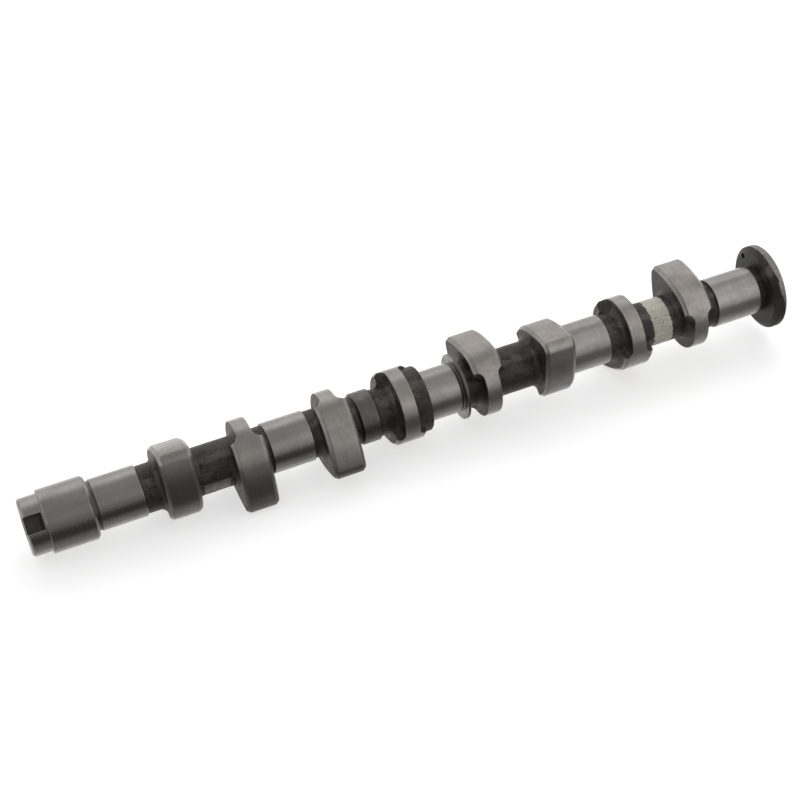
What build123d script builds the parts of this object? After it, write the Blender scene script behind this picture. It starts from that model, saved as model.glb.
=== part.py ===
from build123d import *
import os
from math import cos, radians, sin, tan

# Camshaft of a small four-cylinder engine: five bearing journals, and an intake and an
# exhaust lobe for each cylinder. It is one casting, turned, ground and milled to size, so it
# is one solid.
# The shaft lies along +X, front end at -X. The origin is on the axis, in the shoulder that
# the timing sprocket seats against. +Z is up as the shaft lies at rest on its lobes.
# Lengths are millimetres. Clock angles are degrees about +X, from +Y towards +Z.

# Front end: sprocket seat, its key slot and its bolt hole
SEAT_DIAMETER = 29.0
SEAT_LENGTH = 9.7
SEAT_CHAMFER = 1.0
SLOT_WIDTH = 8.5
SLOT_LENGTH = 8.8
SLOT_DEPTH = 4.2
SLOT_CLOCK = 136.3
BOLT_HOLE_DIAMETER = 10.4
BOLT_HOLE_DEPTH = 32.0
BOLT_MOUTH_DIAMETER = 13.0

# Seal race and front journal
RACE_DIAMETER = 32.0
RACE_LENGTH = 23.4
RACE_FRONT_CHAMFER = 0.5
RACE_REAR_CHAMFER = 1.3
RACE_RELIEF_LENGTH = 1.6
RACE_RELIEF_DIAMETER = 24.8
FRONT_JOURNAL_LENGTH = 23.1

# Bearing journals
JOURNAL_DIAMETER = 26.0
JOURNAL_CHAMFER = 0.4

# As-cast core between the machined features
CORE_DIAMETER = 24.2
ROOT_RADIUS = 3.2          # casting fillet where the core meets a lobe
ROOT_FLATS = 2             # flats that the fillet's curve is drawn with
FRONT_CORE_LENGTH = 9.3    # front journal to the first lobe
JOURNAL_FRONT_GAP = 2.4    # lobe to the journal behind it
JOURNAL_REAR_GAP = 4.4     # journal to the lobe behind it
REAR_CORE_LENGTH = 5.4     # last lobe to the rear journal

# Lobes
CYLINDER_PITCH = 82.0
LOBE_SPACING = 36.6        # intake lobe to exhaust lobe of one cylinder
LOBE_WIDTH = 16.6          # over the nose and flanks
RELIEVED_WIDTH = 7.7       # over the relieved base circle
RELIEF_ANGLE = 105.0       # from the nose to where the full width ends
LOBE_CHAMFER_LENGTH = 1.8  # along the shaft
LOBE_CHAMFER_DEPTH = 1.3
BASE_CIRCLE_DIAMETER = 38.0
NOSE_RADIUS = 5.5
FLANK_ANGLE = 62.0         # from the nose to where a flank leaves the base circle
INTAKE_LIFT = 8.3
EXHAUST_LIFT = 8.7
FIRST_INTAKE_CLOCK = 114.2
LOBE_SEPARATION = 107.0    # exhaust lobe ahead of the intake lobe of one cylinder
FIRING_ORDER = (1, 3, 4, 2)

# Milled flat on the core between the first two lobes
FLAT_CLOCK = 201.0
FLAT_DEPTH = 0.95
FLAT_END_GAP = 1.4         # each lobe to the end of the cut

# Collar between the second cylinder's lobes
COLLAR_DIAMETER = 26.8
COLLAR_LENGTH = 10.2
COLLAR_CHAMFER = 0.7
COLLAR_GAP = 4.1           # lobe to the collar behind it

# Thrust bearing at the middle journal: a boss before it and a flange behind it
BOSS_DIAMETER = 34.4
BOSS_REACH = 4.0           # beyond the side of the lobe
BOSS_CHAMFER = 0.5
THRUST_FLANGE_DIAMETER = 34.4
THRUST_FLANGE_THICKNESS = 1.4
THRUST_RELIEF_LENGTH = 0.9
THRUST_RELIEF_DIAMETER = 24.6
THRUST_FACE_CLEARANCE = 0.3    # inner edge of the thrust face outside the journal
THRUST_NECK_LENGTH = 4.6   # flange to the lobe behind it

# Rear end: journal, neck and end disc
REAR_JOURNAL_LENGTH = 25.7
NECK_DIAMETER = 24.2       # as cast, like the core
NECK_LENGTH = 3.5
DISC_DIAMETER = 45.0
DISC_THICKNESS = 6.1
DISC_BEVEL_LENGTH = 2.0
DISC_BEVEL_HEIGHT = 3.0
DISC_REAR_CHAMFER = 0.6
DISC_HOLE_DIAMETER = 3.0
DISC_HOLE_RADIUS = 18.4    # from the shaft's axis
DISC_HOLE_CLOCK = 46.0
CENTRE_DIAMETER = 6.0      # rear centre drilling
CENTRE_ANGLE = 60.0        # the whole cone's
CENTRE_PILOT_DIAMETER = 2.5
CENTRE_PILOT_DEPTH = 7.0

RIGHT_ANGLE = 90.0
BLEND_DIP = 0.05           # how far a root blend runs under the core's surface


def turned(start, length, diameter, front_chamfer=0.0, rear_chamfer=0.0):
    """A cylinder along the axis from start, with a 45 degree chamfer at each end."""
    end, radius = start + length, diameter / 2
    outline = [
        (start, 0),
        (start, radius - front_chamfer),
        (start + front_chamfer, radius),
        (end - rear_chamfer, radius),
        (end, radius - rear_chamfer),
        (end, 0),
    ]
    corners = [p for i, p in enumerate(outline) if p != outline[i - 1]]
    return revolve(make_face(Polyline(*corners, close=True)), axis=Axis.X)


def radial(clock):
    """The unit vector that points away from the axis at a clock angle."""
    return Vector(0, cos(radians(clock)), sin(radians(clock)))


def cross_plane(x, clock):
    """The plane across the shaft at x, whose own X points at the clock angle."""
    return Plane(origin=(x, 0, 0), x_dir=radial(clock), z_dir=(1, 0, 0))


def side_plane(x, clock):
    """The plane through the axis, with its own X along the shaft and Y at the clock angle."""
    return Plane(origin=(x, 0, 0), x_dir=(1, 0, 0), z_dir=radial(clock + RIGHT_ANGLE))


# ---- Stations along the shaft ----

def lobe_side(cylinder, kind, end):
    """Where a lobe's full width ends: end is -1 for its front side and +1 for its rear side."""
    return lobe_centre(cylinder, kind) + end * LOBE_WIDTH / 2


def lobe_centre(cylinder, kind):
    """The middle of a lobe: kind is "intake" or "exhaust"."""
    first = (
        RACE_LENGTH + RACE_RELIEF_LENGTH + FRONT_JOURNAL_LENGTH + FRONT_CORE_LENGTH
        + LOBE_WIDTH / 2
    )
    step = LOBE_SPACING if kind == "exhaust" else 0.0
    return first + (cylinder - 1) * CYLINDER_PITCH + step


def lobe_clock(cylinder, kind):
    """The clock angle of a lobe's nose. The shaft turns by +X, a quarter turn a cylinder."""
    intake = FIRST_INTAKE_CLOCK - RIGHT_ANGLE * FIRING_ORDER.index(cylinder)
    return intake + LOBE_SEPARATION if kind == "exhaust" else intake


def rear_journal_start():
    """The front end of the rear journal."""
    return lobe_side(4, "exhaust", +1) + REAR_CORE_LENGTH


def disc_start():
    """The front face of the end disc."""
    return rear_journal_start() + REAR_JOURNAL_LENGTH + NECK_LENGTH


# ---- Lobes ----

def cam_outline(lift):
    """A cam profile with its nose along X: base circle, two flank arcs and the nose arc.

    Each flank is the one circle that touches both the base circle, at FLANK_ANGLE from the
    nose, and the nose circle from outside.
    """
    base = BASE_CIRCLE_DIAMETER / 2
    nose_centre = base + lift - NOSE_RADIUS
    turn = radians(FLANK_ANGLE)
    flank = (base**2 - NOSE_RADIUS**2 + nose_centre**2 - 2 * base * nose_centre * cos(turn)) / (
        2 * (base - NOSE_RADIUS - nose_centre * cos(turn))
    )
    flank_centre = Vector(cos(turn), sin(turn)) * (base - flank)
    to_nose = (Vector(nose_centre, 0) - flank_centre).normalized()
    to_base = Vector(cos(turn), sin(turn))
    leave = to_base * base
    middle = flank_centre + (to_nose + to_base).normalized() * flank
    meet = flank_centre + to_nose * flank
    tip = Vector(base + lift, 0)

    def mirrored(point):
        return Vector(point.X, -point.Y)

    return make_face([
        ThreePointArc(leave, middle, meet),
        ThreePointArc(meet, tip, mirrored(meet)),
        ThreePointArc(mirrored(meet), mirrored(middle), mirrored(leave)),
        ThreePointArc(mirrored(leave), Vector(-base, 0), leave),
    ])


def relief_outline(reach):
    """What stays of a lobe in its side view, with the nose along Y.

    Full width, with room for the root blends, down to RELIEF_ANGLE. Below that a hollow arc
    on each side leads in to the relieved width.
    """
    full, slim = LOBE_WIDTH / 2, RELIEVED_WIDTH / 2
    hollow = full - slim
    shoulder = BASE_CIRCLE_DIAMETER / 2 * cos(radians(RELIEF_ANGLE))
    sweep = hollow * (1 - cos(radians(RIGHT_ANGLE / 2)))
    right = [
        Line((full + ROOT_RADIUS, reach), (full + ROOT_RADIUS, shoulder)),
        Line((full + ROOT_RADIUS, shoulder), (full, shoulder)),
        ThreePointArc((full, shoulder), (slim + sweep, shoulder - sweep),
                      (slim, shoulder - hollow)),
        Line((slim, shoulder - hollow), (slim, -reach)),
    ]
    left = [mirror(edge, about=Plane.YZ) for edge in right]
    ends = [
        Line((-full - ROOT_RADIUS, reach), (full + ROOT_RADIUS, reach)),
        Line((-slim, -reach), (slim, -reach)),
    ]
    return make_face([*right, *left, *ends])


def root_blend(side, outward):
    """A disc whose hollow rim is the casting fillet between the core and a flat side.

    The fillet's quarter circle is drawn as ROOT_FLATS straight flats. outward is +1 where the
    core lies behind the side and -1 where it lies before it.
    """
    far = side + outward * ROOT_RADIUS
    arc_centre = CORE_DIAMETER / 2 - BLEND_DIP + ROOT_RADIUS
    turns = [radians(RIGHT_ANGLE * step / ROOT_FLATS) for step in range(ROOT_FLATS + 1)]
    hollow = [(far - outward * ROOT_RADIUS * cos(t), arc_centre - ROOT_RADIUS * sin(t)) for t in turns]
    return revolve(make_face(Polyline((side, 0), *hollow, (far, 0), close=True)), axis=Axis.X)


def lobe(centre, clock, lift):
    """One cam lobe, full width over its nose and flanks and relieved over its base circle."""
    full, slim = LOBE_WIDTH / 2, RELIEVED_WIDTH / 2
    profile = cross_plane(centre, clock) * cam_outline(lift)
    cam = extrude(profile, amount=full, both=True)
    for end in (0, -1):
        side = cam.faces().sort_by(Axis.X)[end]
        cam = chamfer(side.edges(), LOBE_CHAMFER_DEPTH, LOBE_CHAMFER_LENGTH, reference=side)
    blends = [root_blend(centre + end * full, end) for end in (-1, +1)]
    reach = BASE_CIRCLE_DIAMETER / 2 + lift + BLEND_DIP
    relief = extrude(side_plane(centre, clock) * relief_outline(reach), amount=reach, both=True)
    slim_blends = [root_blend(centre + end * slim, end) for end in (-1, +1)]
    return ((cam + blends) & relief) + slim_blends


def lobes():
    """The eight lobes, with the boss that grows from the second exhaust lobe."""
    lifts = {"intake": INTAKE_LIFT, "exhaust": EXHAUST_LIFT}
    made = [
        lobe(lobe_centre(cylinder, kind), lobe_clock(cylinder, kind), lift)
        for cylinder in sorted(FIRING_ORDER)
        for kind, lift in lifts.items()
    ]
    boss_start = lobe_centre(2, "exhaust")
    boss_length = lobe_side(2, "exhaust", +1) + BOSS_REACH - boss_start
    made.append(turned(boss_start, boss_length, BOSS_DIAMETER, rear_chamfer=BOSS_CHAMFER))
    return made


# ---- Turned features ----

def front_end():
    """The sprocket seat, the seal race, its relief and the front journal."""
    journal_start = RACE_LENGTH + RACE_RELIEF_LENGTH
    return [
        turned(-SEAT_LENGTH, SEAT_LENGTH, SEAT_DIAMETER, front_chamfer=SEAT_CHAMFER),
        turned(0, RACE_LENGTH, RACE_DIAMETER, RACE_FRONT_CHAMFER, RACE_REAR_CHAMFER),
        turned(RACE_LENGTH, RACE_RELIEF_LENGTH, RACE_RELIEF_DIAMETER),
        journal(journal_start, journal_start + FRONT_JOURNAL_LENGTH),
    ]


def journal(start, end):
    """One ground bearing journal."""
    return turned(start, end - start, JOURNAL_DIAMETER, JOURNAL_CHAMFER, JOURNAL_CHAMFER)


def middle():
    """The second and fourth journals, the collar and the thrust bearing."""
    made = [
        journal(
            lobe_side(cylinder, "exhaust", +1) + JOURNAL_FRONT_GAP,
            lobe_side(cylinder + 1, "intake", -1) - JOURNAL_REAR_GAP,
        )
        for cylinder in (1, 3)
    ]
    collar_start = lobe_side(2, "intake", +1) + COLLAR_GAP
    made.append(
        turned(collar_start, COLLAR_LENGTH, COLLAR_DIAMETER, COLLAR_CHAMFER, COLLAR_CHAMFER)
    )
    boss_face = lobe_side(2, "exhaust", +1) + BOSS_REACH
    flange_end = lobe_side(3, "intake", -1) - THRUST_NECK_LENGTH
    flange_start = flange_end - THRUST_FLANGE_THICKNESS
    relief_start = flange_start - THRUST_RELIEF_LENGTH
    made.append(
        turned(boss_face, relief_start - boss_face, JOURNAL_DIAMETER,
               rear_chamfer=JOURNAL_CHAMFER)
    )
    relief = Polyline(
        (relief_start, 0),
        (relief_start, THRUST_RELIEF_DIAMETER / 2),
        (flange_start, JOURNAL_DIAMETER / 2 + THRUST_FACE_CLEARANCE),
        (flange_start, 0),
        close=True,
    )
    made.append(revolve(make_face(relief), axis=Axis.X))
    made.append(turned(flange_start, THRUST_FLANGE_THICKNESS, THRUST_FLANGE_DIAMETER))
    return made


def rear_end():
    """The rear journal, the neck and the bevelled end disc."""
    journal_end = rear_journal_start() + REAR_JOURNAL_LENGTH
    start, rim = disc_start(), DISC_DIAMETER / 2
    end = start + DISC_THICKNESS
    disc = Polyline(
        (start, 0),
        (start, rim - DISC_BEVEL_HEIGHT),
        (start + DISC_BEVEL_LENGTH, rim),
        (end - DISC_REAR_CHAMFER, rim),
        (end, rim - DISC_REAR_CHAMFER),
        (end, 0),
        close=True,
    )
    return [
        journal(rear_journal_start(), journal_end),
        turned(journal_end, NECK_LENGTH, NECK_DIAMETER),
        revolve(make_face(disc), axis=Axis.X),
    ]


# ---- Cuts ----

def key_slot():
    """The slot across the sprocket seat, open at the front end."""
    floor = SEAT_DIAMETER / 2 - SLOT_DEPTH
    plane = side_plane(-SEAT_LENGTH, SLOT_CLOCK)
    box = Box(SLOT_LENGTH, SEAT_DIAMETER, SLOT_WIDTH, align=(Align.MIN, Align.MIN, Align.CENTER))
    return plane * Pos(0, floor, 0) * box


def bolt_hole():
    """The tapped hole for the sprocket bolt, with a countersunk mouth."""
    mouth_depth = (BOLT_MOUTH_DIAMETER - BOLT_HOLE_DIAMETER) / 2
    mouth = turned(-SEAT_LENGTH, mouth_depth, BOLT_MOUTH_DIAMETER, rear_chamfer=mouth_depth)
    return mouth + turned(-SEAT_LENGTH, BOLT_HOLE_DEPTH, BOLT_HOLE_DIAMETER)


def core_flat():
    """The flat milled along the core between the first two lobes."""
    start = lobe_side(1, "intake", +1) + FLAT_END_GAP
    length = lobe_side(1, "exhaust", -1) - FLAT_END_GAP - start
    box = Box(length, CORE_DIAMETER, CORE_DIAMETER, align=(Align.MIN, Align.MIN, Align.CENTER))
    return side_plane(start, FLAT_CLOCK) * Pos(0, CORE_DIAMETER / 2 - FLAT_DEPTH, 0) * box


def rear_centre():
    """The centre drilling in the rear end: a cone and its pilot."""
    end, radius = disc_start() + DISC_THICKNESS, CENTRE_DIAMETER / 2
    cone_depth = radius / tan(radians(CENTRE_ANGLE / 2))
    cone = make_face(Polyline((end, 0), (end, radius), (end - cone_depth, 0), close=True))
    pilot = turned(end - CENTRE_PILOT_DEPTH, CENTRE_PILOT_DEPTH, CENTRE_PILOT_DIAMETER)
    return revolve(cone, axis=Axis.X) + pilot


def disc_hole():
    """The small hole through the end disc."""
    start = cross_plane(disc_start(), DISC_HOLE_CLOCK) * Pos(DISC_HOLE_RADIUS, 0, 0)
    aligned = (Align.CENTER, Align.CENTER, Align.MIN)
    return start * Cylinder(DISC_HOLE_DIAMETER / 2, DISC_THICKNESS, align=aligned)


def camshaft():
    """The whole shaft as one solid."""
    core = turned(RACE_LENGTH, disc_start() - NECK_LENGTH - RACE_LENGTH, CORE_DIAMETER)
    solid = core + [*front_end(), *middle(), *rear_end(), *lobes()]
    for cut in (key_slot(), bolt_hole(), core_flat(), rear_centre(), disc_hole()):
        solid -= cut
    return solid


os.makedirs("parts", exist_ok=True)
export_step(camshaft(), "parts/camshaft.step")
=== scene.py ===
"""Camshaft of a small four-cylinder engine: the dressed model on its fixed frame.

The shaft lies along +X with its front end at -X. The origin is on the axis, in the shoulder
that the timing sprocket seats against. Sizes are in millimetres and become metres when a
skin is built. Clock angles are degrees about +X, from +Y towards +Z.
"""

import logging
import math
from dataclasses import dataclass
from enum import Enum, IntEnum

import bmesh
import bpy
import numpy as np
from mathutils import Matrix, Vector


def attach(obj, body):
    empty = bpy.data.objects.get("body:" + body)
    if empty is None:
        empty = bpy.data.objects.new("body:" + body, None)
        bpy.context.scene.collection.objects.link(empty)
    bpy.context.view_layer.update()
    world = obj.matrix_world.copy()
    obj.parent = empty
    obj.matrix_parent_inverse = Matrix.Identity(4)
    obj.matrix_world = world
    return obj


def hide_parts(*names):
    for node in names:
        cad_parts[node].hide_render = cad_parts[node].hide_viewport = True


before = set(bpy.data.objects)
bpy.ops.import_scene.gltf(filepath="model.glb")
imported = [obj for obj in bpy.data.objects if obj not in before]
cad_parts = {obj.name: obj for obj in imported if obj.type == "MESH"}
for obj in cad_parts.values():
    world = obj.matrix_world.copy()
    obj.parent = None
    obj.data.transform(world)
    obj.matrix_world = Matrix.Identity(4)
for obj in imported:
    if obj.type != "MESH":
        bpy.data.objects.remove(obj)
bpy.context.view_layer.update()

LOG = logging.getLogger("camshaft")
METRES = 0.001
SEED = 11
SHARP_ANGLE = 35.0    # an edge that turns by more degrees stays sharp
SUPPORT_GAP = 0.3     # how far past a softened corner its support point stands
OVERLAP = 0.5         # how far pieces that meet reach into each other
COLUMNS = 192         # points round a turned feature

Colour = tuple[float, float, float]
Point = tuple[float, float, float]
Outline = list[tuple[float, float]]
Pairs = tuple[tuple[float, float], ...]


# ---------------------------------------------------------------------------
# Driving sizes
# ---------------------------------------------------------------------------


class Valve(Enum):
    """Which valve a lobe opens."""

    INTAKE = "intake"
    EXHAUST = "exhaust"


class End(IntEnum):
    """The two ends of a feature along the shaft."""

    FRONT = -1
    REAR = 1


@dataclass(frozen=True)
class ShaftPlan:
    """Sizes that several sub-assemblies share, and the stations that follow from them."""

    race_length: float = 23.4
    race_relief_length: float = 1.6
    front_journal_length: float = 23.1
    front_core_length: float = 9.3
    journal_diameter: float = 26.0
    journal_chamfer: float = 0.4
    core_diameter: float = 24.2
    root_radius: float = 3.2
    cylinder_pitch: float = 82.0
    lobe_spacing: float = 36.6
    lobe_width: float = 16.6
    journal_front_gap: float = 2.4
    journal_rear_gap: float = 4.4
    rear_core_length: float = 5.4
    rear_journal_length: float = 25.7
    neck_length: float = 3.5
    first_intake_clock: float = 114.2
    lobe_separation: float = 107.0
    firing_order: tuple[int, ...] = (1, 3, 4, 2)

    def lobe_centre(self, cylinder: int, valve: Valve) -> float:
        """The middle of a lobe along the shaft.

        Args:
            cylinder: the lobe's cylinder, counted from the front end.
            valve: the valve that it opens.

        Returns:
            Its station.
        """
        first = (
            self.race_length + self.race_relief_length + self.front_journal_length
            + self.front_core_length + self.lobe_width / 2
        )
        step = self.lobe_spacing if valve is Valve.EXHAUST else 0.0
        return first + (cylinder - 1) * self.cylinder_pitch + step

    def lobe_side(self, cylinder: int, valve: Valve, end: End) -> float:
        """Where a lobe's full width ends."""
        return self.lobe_centre(cylinder, valve) + end * self.lobe_width / 2

    def lobe_clock(self, cylinder: int, valve: Valve) -> float:
        """The clock angle of a lobe's nose: a quarter turn back for each firing step."""
        intake = self.first_intake_clock - 90.0 * self.firing_order.index(cylinder)
        return intake + self.lobe_separation if valve is Valve.EXHAUST else intake

    def journal_span(self, number: int) -> tuple[float, float]:
        """The front and rear station of a journal, 1 to 5 from the front.

        Args:
            number: the journal, counted from the front end.

        Returns:
            Its two ends. The third is the middle one, whose ends the thrust bearing sets.
        """
        if number == 1:
            start = self.race_length + self.race_relief_length
            return start, start + self.front_journal_length
        if number == 5:
            start = self.lobe_side(4, Valve.EXHAUST, End.REAR) + self.rear_core_length
            return start, start + self.rear_journal_length
        cylinder = number - 1
        return (
            self.lobe_side(cylinder, Valve.EXHAUST, End.REAR) + self.journal_front_gap,
            self.lobe_side(cylinder + 1, Valve.INTAKE, End.FRONT) - self.journal_rear_gap,
        )

    def disc_start(self) -> float:
        """The front face of the end disc."""
        return self.journal_span(5)[1] + self.neck_length


# ---------------------------------------------------------------------------
# Skins: rings of points carried along a profile
# ---------------------------------------------------------------------------


def clock_turns(columns: int) -> np.ndarray:
    """Evenly spaced clock angles in degrees, one full turn without its last point."""
    return np.arange(columns) * 360.0 / columns


def units(turn: np.ndarray | float) -> np.ndarray:
    """Unit vectors (cos t, sin t) at angles t in radians."""
    return np.stack([np.cos(turn), np.sin(turn)], axis=-1)


def ring_points(stations: np.ndarray, radii: np.ndarray, clocks: np.ndarray) -> np.ndarray:
    """Points (x, r cos c, r sin c) for every station, radius and clock angle.

    Args:
        stations: x of each ring, one number a ring or one for each point.
        radii: distance from the axis, one number a ring or one for each point.
        clocks: clock angle of each column in degrees, shared or one for each point.

    Returns:
        An array of rings by columns by 3.
    """
    shape = np.broadcast_shapes(np.shape(stations), np.shape(radii), np.shape(clocks))
    turn = np.radians(np.broadcast_to(clocks, shape))
    radius = np.broadcast_to(radii, shape)
    return np.stack(
        [np.broadcast_to(stations, shape), radius * np.cos(turn), radius * np.sin(turn)], axis=-1
    )


def eased_outline(
    corners: Outline, spans: list[int], ease: float, steps: int = 4
) -> tuple[np.ndarray, np.ndarray]:
    """Softens the corners of an (x, r) outline.

    Each corner c between unit directions u and w becomes the curve
    (1-t)^2 (c + q u) + 2 t (1-t) c + t^2 (c + q w), with q the ease or a third of the shorter
    side. A support point on each side keeps the flats flat when they are shaded smooth.

    Args:
        corners: the outline's points, in order.
        spans: the finish of the span that follows each corner but the last.
        ease: how far from the corner the softening starts.
        steps: spans in each softened corner.

    Returns:
        The outline's points, and the finish of each span between them.
    """
    points: list[np.ndarray] = [np.array(corners[0], float)]
    finishes: list[int] = []
    t = np.linspace(0.0, 1.0, steps + 1)[:, None]
    for index in range(1, len(corners) - 1):
        before, here, after = (np.array(corners[index + k], float) for k in (-1, 0, 1))
        back, onward = before - here, after - here
        back_length, onward_length = np.linalg.norm(back), np.linalg.norm(onward)
        back, onward = back / back_length, onward / onward_length
        q = min(ease, back_length / 3, onward_length / 3)
        curve = (1 - t) ** 2 * (here + q * back) + 2 * t * (1 - t) * here + t**2 * (here + q * onward)
        lead = min(q + SUPPORT_GAP, back_length * 0.48)
        trail = min(q + SUPPORT_GAP, onward_length * 0.48)
        points += [here + lead * back, *curve, here + trail * onward]
        half = steps // 2
        finishes += [spans[index - 1]] * (2 + half) + [spans[index]] * (1 + steps - half)
    points.append(np.array(corners[-1], float))
    finishes.append(spans[-1])
    return np.array(points), np.array(finishes)


def unevenness(x: np.ndarray, clock: np.ndarray, seed: int, waves: int = 14) -> np.ndarray:
    """The slow swell of a cast surface, about -1 to 1.

    A sum of waves sin(k x + m c + p) with k up to one wave in 5 mm, m a whole number so that
    it closes round the shaft, and p a seeded phase.

    Args:
        x: stations along the shaft.
        clock: clock angles in degrees.
        seed: start of the random draws.
        waves: how many waves are summed.

    Returns:
        The swell at every station and angle.
    """
    chance = np.random.default_rng(seed)
    pitch = chance.uniform(0.08, 1.2, waves) * chance.choice([-1, 1], waves)
    turns = chance.integers(1, 7, waves)
    phase = chance.uniform(0, 2 * np.pi, waves)
    size = 1 / (1 + np.abs(pitch) * 2 + turns * 0.3)
    angle = np.radians(clock)
    total = sum(
        s * np.sin(k * x + m * angle + p) for s, k, m, p in zip(size, pitch, turns, phase)
    )
    return total / np.sqrt((size**2).sum())


@dataclass
class Skin:
    """A closed skin of rings, with a fan of triangles to the axis at each end.

    Rings run along the profile and columns run round the axis by rising clock angle, so that
    every face points outwards where the profile runs from the front end to the rear.
    """

    rings: np.ndarray
    finish: np.ndarray
    first_apex: float
    last_apex: float

    def build(self, name: str, finishes: list[bpy.types.Material]) -> bpy.types.Object:
        """Makes the piece.

        Args:
            name: the piece's name.
            finishes: its materials, in the order of the finish numbers.

        Returns:
            The object, at the origin, riding on the shaft.
        """
        rows, columns = self.rings.shape[:2]
        apexes = [(self.first_apex, 0.0, 0.0), (self.last_apex, 0.0, 0.0)]
        vertices = np.vstack([self.rings.reshape(-1, 3), apexes]) * METRES
        index = np.arange(rows * columns).reshape(rows, columns)
        ahead = np.roll(index, -1, axis=1)
        quads = np.stack([index[:-1], ahead[:-1], ahead[1:], index[1:]], axis=-1).reshape(-1, 4)
        first, last = rows * columns, rows * columns + 1
        front_fan = np.stack([np.full(columns, first), ahead[0], index[0]], axis=-1)
        rear_fan = np.stack([np.full(columns, last), index[-1], ahead[-1]], axis=-1)
        loops = np.concatenate([quads.ravel(), front_fan.ravel(), rear_fan.ravel()])
        sizes = np.concatenate([np.full(len(quads), 4), np.full(2 * columns, 3)])
        starts = np.concatenate([[0], np.cumsum(sizes)[:-1]])
        finish = np.broadcast_to(
            self.finish if np.ndim(self.finish) == 2 else np.asarray(self.finish)[:, None],
            (rows - 1, columns),
        )
        slots = np.concatenate([finish.ravel(), finish[0], finish[-1]])

        mesh = bpy.data.meshes.new(name)
        mesh.vertices.add(len(vertices))
        mesh.vertices.foreach_set("co", vertices.astype(np.float32).ravel())
        mesh.loops.add(len(loops))
        mesh.loops.foreach_set("vertex_index", loops.astype(np.int32))
        mesh.polygons.add(len(sizes))
        mesh.polygons.foreach_set("loop_start", starts.astype(np.int32))
        mesh.polygons.foreach_set("material_index", slots.astype(np.int32))
        mesh.update(calc_edges=True)
        for material in finishes:
            mesh.materials.append(material)
        close_doubles(mesh)
        return finished_piece(name, mesh)


def close_doubles(mesh: bpy.types.Mesh) -> None:
    """Merges points that lie on each other, which drops the faces without area between them.

    Args:
        mesh: the mesh to close.
    """
    work = bmesh.new()
    work.from_mesh(mesh)
    bmesh.ops.remove_doubles(work, verts=work.verts, dist=0.000002)
    work.to_mesh(mesh)
    work.free()


def shade(mesh: bpy.types.Mesh) -> None:
    """Shades a mesh smooth, but for its sharp edges."""
    mesh.shade_smooth()
    mesh.set_sharp_from_angle(angle=math.radians(SHARP_ANGLE))


def placed(name: str, data: bpy.types.ID) -> bpy.types.Object:
    """A new object in the scene."""
    made = bpy.data.objects.new(name, data)
    bpy.context.scene.collection.objects.link(made)
    return made


def finished_piece(name: str, mesh: bpy.types.Mesh) -> bpy.types.Object:
    """Shades a mesh and makes it a piece of the shaft.

    Args:
        name: the piece's name.
        mesh: its mesh.

    Returns:
        The piece.
    """
    shade(mesh)
    piece = placed(name, mesh)
    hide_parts("camshaft")
    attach(piece, "root")
    LOG.info("%s: %d faces", name, len(mesh.polygons))
    return piece


def prism(outline: np.ndarray, span: tuple[float, float]) -> bpy.types.Mesh:
    """A cutter: an outline carried straight along the shaft.

    Args:
        outline: (y, z) corners by rising clock angle.
        span: where it starts and ends.

    Returns:
        Its closed mesh.
    """
    count = len(outline)
    points = np.column_stack([np.repeat(span, count), np.tile(outline, (2, 1))]) * METRES
    faces = [[j, (j + 1) % count, count + (j + 1) % count, count + j] for j in range(count)]
    faces += [list(range(count - 1, -1, -1)), list(range(count, 2 * count))]
    mesh = bpy.data.meshes.new("cutter")
    mesh.from_pydata(points.tolist(), [], faces)
    return mesh


def carve(piece: bpy.types.Object, cutter: bpy.types.Mesh, finish: int) -> None:
    """Cuts a piece with a closed cutter.

    Args:
        piece: the piece to cut.
        cutter: the cutter's mesh.
        finish: number of the piece's finish that the cut faces take.
    """
    for material in piece.data.materials:
        cutter.materials.append(material)
    cutter.polygons.foreach_set("material_index", np.full(len(cutter.polygons), finish, np.int32))
    tool = placed("cutter", cutter)
    cut = piece.modifiers.new("cut", "BOOLEAN")
    cut.operation, cut.object, cut.solver = "DIFFERENCE", tool, "EXACT"
    carved = bpy.data.meshes.new_from_object(
        piece.evaluated_get(bpy.context.evaluated_depsgraph_get())
    )
    piece.modifiers.clear()
    piece.data = carved
    bpy.data.objects.remove(tool)
    shade(carved)


def chamfered_band(start: float, end: float, radius: float, chamfer: float, foot: float) -> Outline:
    """The (x, r) outline of a band with chamfered edges, whose sides reach foot deep."""
    return [
        (start, radius - foot), (start, radius - chamfer), (start + chamfer, radius),
        (end - chamfer, radius), (end, radius - chamfer), (end, radius - foot),
    ]


def turned_skin(
    corners: Outline, spans: list[int], ease: float = 0.12, columns: int = COLUMNS
) -> Skin:
    """The skin of a turned feature: an (x, r) outline revolved about the shaft's axis.

    Args:
        corners: the outline's points from front to rear.
        spans: the finish of the span that follows each corner but the last.
        ease: how far from each corner its softening starts.
        columns: points round the axis.

    Returns:
        The closed skin.
    """
    outline, finish = eased_outline(corners, spans, ease)
    rings = ring_points(outline[:, :1], outline[:, 1:], clock_turns(columns)[None, :])
    return Skin(rings, finish, corners[0][0], corners[-1][0])


# ---------------------------------------------------------------------------
# Finishes
# ---------------------------------------------------------------------------


def scaled(colour: Colour, factor: float) -> Colour:
    """A colour made darker or lighter."""
    return tuple(part * factor for part in colour)


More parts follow.
